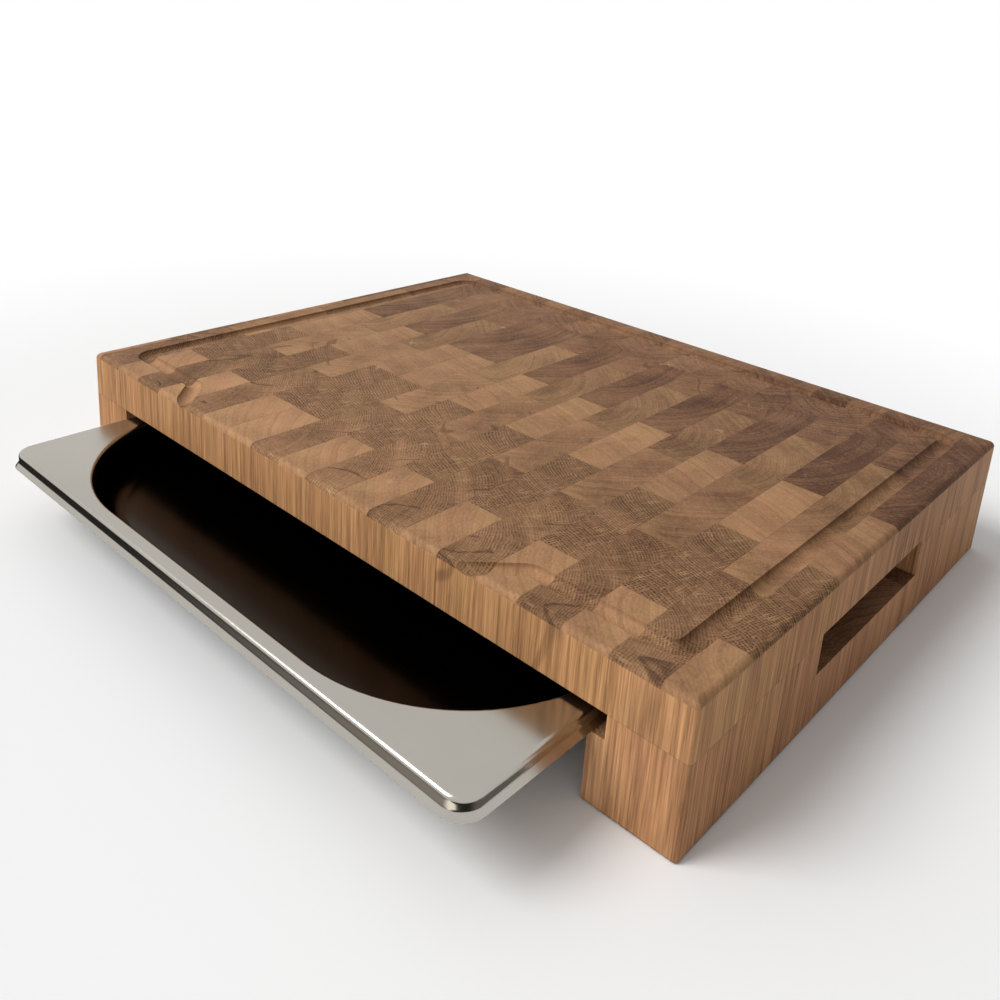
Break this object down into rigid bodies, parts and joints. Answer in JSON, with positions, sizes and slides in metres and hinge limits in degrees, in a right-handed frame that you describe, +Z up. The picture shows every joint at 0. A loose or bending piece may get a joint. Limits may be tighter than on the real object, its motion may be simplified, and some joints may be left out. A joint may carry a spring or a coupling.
{
  "type": "cutting board with drawer tray",
  "caption": "End-grain cutting board on two legs, with a juice groove, grip slots in its sides and a shallow steel tray that slides out from under it.",
  "frame": {"origin": "on the worktop, under the middle of the object as it stands with its tray pulled out 64.5 mm", "axes": "+X to the right as seen from the front, -Y to the front where the tray comes out, +Z up"},
  "size_m": [0.4, 0.3644, 0.065],
  "materials": {
    "oak_slab": "oiled end-grain oak, rings and pores showing",
    "oak_legs": "oiled oak, upright grain",
    "steel": "satin stainless steel sheet"
  },
  "bodies": {
    "board": {"slab_strip_01": "oak_slab", "slab_strip_02": "oak_slab", "slab_strip_03": "oak_slab", "slab_strip_04": "oak_slab", "slab_strip_05": "oak_slab", "slab_strip_06": "oak_slab", "slab_strip_07": "oak_slab", "slab_strip_08": "oak_slab", "slab_strip_09": "oak_slab", "slab_strip_10": "oak_slab", "slab_strip_11": "oak_slab", "slab_strip_12": "oak_slab", "slab_strip_13": "oak_slab", "slab_strip_14": "oak_slab", "slab_strip_15": "oak_slab", "slab_strip_16": "oak_slab", "slab_strip_17": "oak_slab", "slab_strip_18": "oak_slab", "slab_strip_19": "oak_slab", "slab_strip_20": "oak_slab", "left_leg_block_1": "oak_legs", "left_leg_block_2": "oak_legs", "left_leg_block_3": "oak_legs", "left_leg_block_4": "oak_legs", "left_leg_block_5": "oak_legs", "right_leg_block_1": "oak_legs", "right_leg_block_2": "oak_legs", "right_leg_block_3": "oak_legs", "right_leg_block_4": "oak_legs", "right_leg_block_5": "oak_legs"},
    "tray": {"tray": "steel"}
  },
  "joints": [
    {"name": "tray_slide", "type": "slide", "parent": "board", "child": "tray", "axis": [0, -1, 0], "range_m": [-0.0645, 0.1355]}
  ]
}
